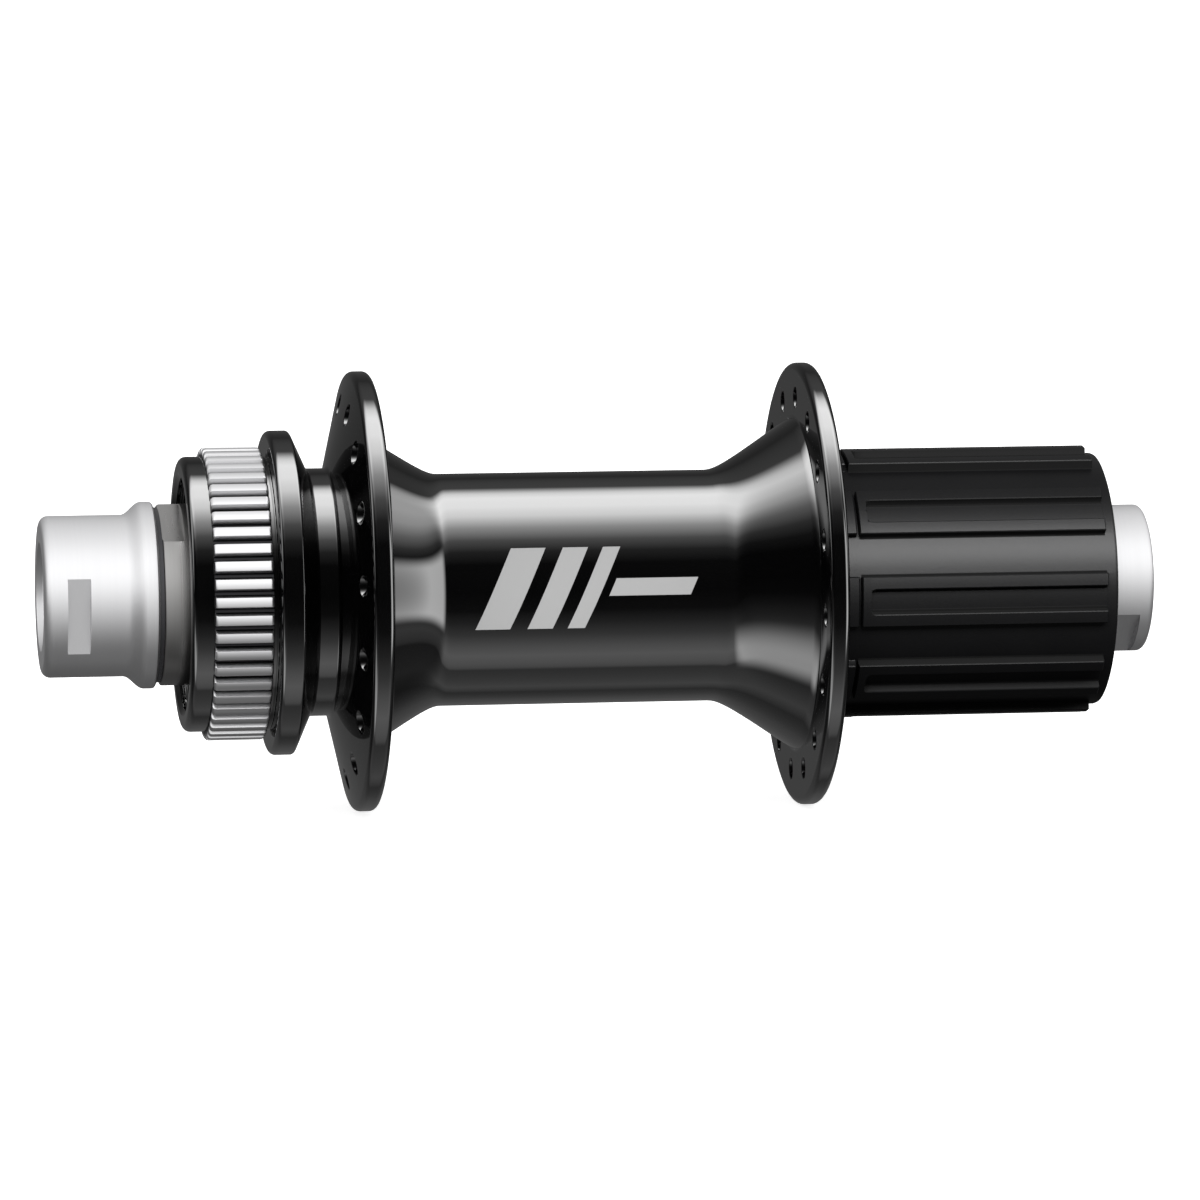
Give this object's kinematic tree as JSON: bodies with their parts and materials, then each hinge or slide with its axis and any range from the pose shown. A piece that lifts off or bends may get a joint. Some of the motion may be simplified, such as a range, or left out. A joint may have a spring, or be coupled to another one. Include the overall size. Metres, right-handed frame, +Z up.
{
  "type": "rear bicycle hub",
  "caption": "Rear hub for a bicycle wheel: turns on a through axle, takes a splined brake disc on one side and a cassette on a ratcheting carrier on the other.",
  "frame": {"origin": "on the axle's centre line, halfway between the two end faces", "axes": "+Y along the axle towards the brake disc side, +X forwards, +Z up; rolling forwards turns the hub in the positive sense about +Y"},
  "size_m": [0.0566, 0.142, 0.0566],
  "materials": {
    "black_anodised": "gloss anodised",
    "satin_aluminium": "satin",
    "black_carrier": "satin anodised",
    "ground_steel": "ground",
    "dark_steel": "oiled",
    "ball_steel": "polished",
    "retainer_steel": "pressed",
    "seal_rubber": "matt",
    "cover_plastic": "matt"
  },
  "bodies": {
    "axle": {"axle_tube": "satin_aluminium", "left_end_cap": "satin_aluminium", "left_lock_washer": "dark_steel", "left_cone": "ground_steel", "left_dust_cover": "cover_plastic", "right_cone": "ground_steel", "right_dust_cover": "cover_plastic", "right_lock_washer": "dark_steel", "right_end_cap": "satin_aluminium"},
    "shell": {"hub_shell": "black_anodised", "left_cup": "dark_steel", "left_seal": "seal_rubber", "freehub_inner_body": "ground_steel", "freehub_fixing_bolt": "dark_steel", "right_cup": "dark_steel", "right_seal": "seal_rubber", "freehub_seal": "seal_rubber", "pawl_spring": "dark_steel", "freehub_left_balls": "ball_steel", "freehub_right_balls": "ball_steel"},
    "carrier": {"cassette_carrier": "black_carrier"},
    "left_ball_set": {"left_balls": "ball_steel", "left_ball_retainer": "retainer_steel"},
    "right_ball_set": {"right_balls": "ball_steel", "right_ball_retainer": "retainer_steel"},
    "pawl_a": {"pawl_1": "dark_steel"},
    "pawl_b": {"pawl_2": "dark_steel"},
    "pawl_c": {"pawl_3": "dark_steel"}
  },
  "joints": [
    {"name": "shell_spin", "type": "hinge", "parent": "axle", "child": "shell", "pos_m": [0, 0, 0], "axis": [0, 1, 0], "continuous": true},
    {"name": "cassette_spin", "type": "hinge", "parent": "shell", "child": "carrier", "pos_m": [0, -0.045, 0], "axis": [0, 1, 0], "continuous": true},
    {"name": "left_balls_orbit", "type": "hinge", "parent": "axle", "child": "left_ball_set", "pos_m": [0, 0.0425, 0], "axis": [0, 1, 0], "continuous": true},
    {"name": "right_balls_orbit", "type": "hinge", "parent": "axle", "child": "right_ball_set", "pos_m": [0, -0.05765, 0], "axis": [0, 1, 0], "continuous": true},
    {"name": "pawl_a_pivot", "type": "hinge", "parent": "shell", "child": "pawl_a", "pos_m": [0.01034, -0.0393, -0.00504], "axis": [0, -1, 0], "range_deg": [0, 10]},
    {"name": "pawl_b_pivot", "type": "hinge", "parent": "shell", "child": "pawl_b", "pos_m": [-0.00953, -0.0393, -0.00643], "axis": [0, -1, 0], "range_deg": [0, 10]},
    {"name": "pawl_c_pivot", "type": "hinge", "parent": "shell", "child": "pawl_c", "pos_m": [-0.0008, -0.0393, 0.01147], "axis": [0, -1, 0], "range_deg": [0, 10]}
  ],
  "couplings": [
    {"joint": "left_balls_orbit", "follows": "shell_spin", "ratio": 0.562},
    {"joint": "right_balls_orbit", "follows": "shell_spin", "ratio": 0.568},
    {"joint": "pawl_b_pivot", "follows": "pawl_a_pivot", "ratio": 1},
    {"joint": "pawl_c_pivot", "follows": "pawl_a_pivot", "ratio": 1}
  ]
}
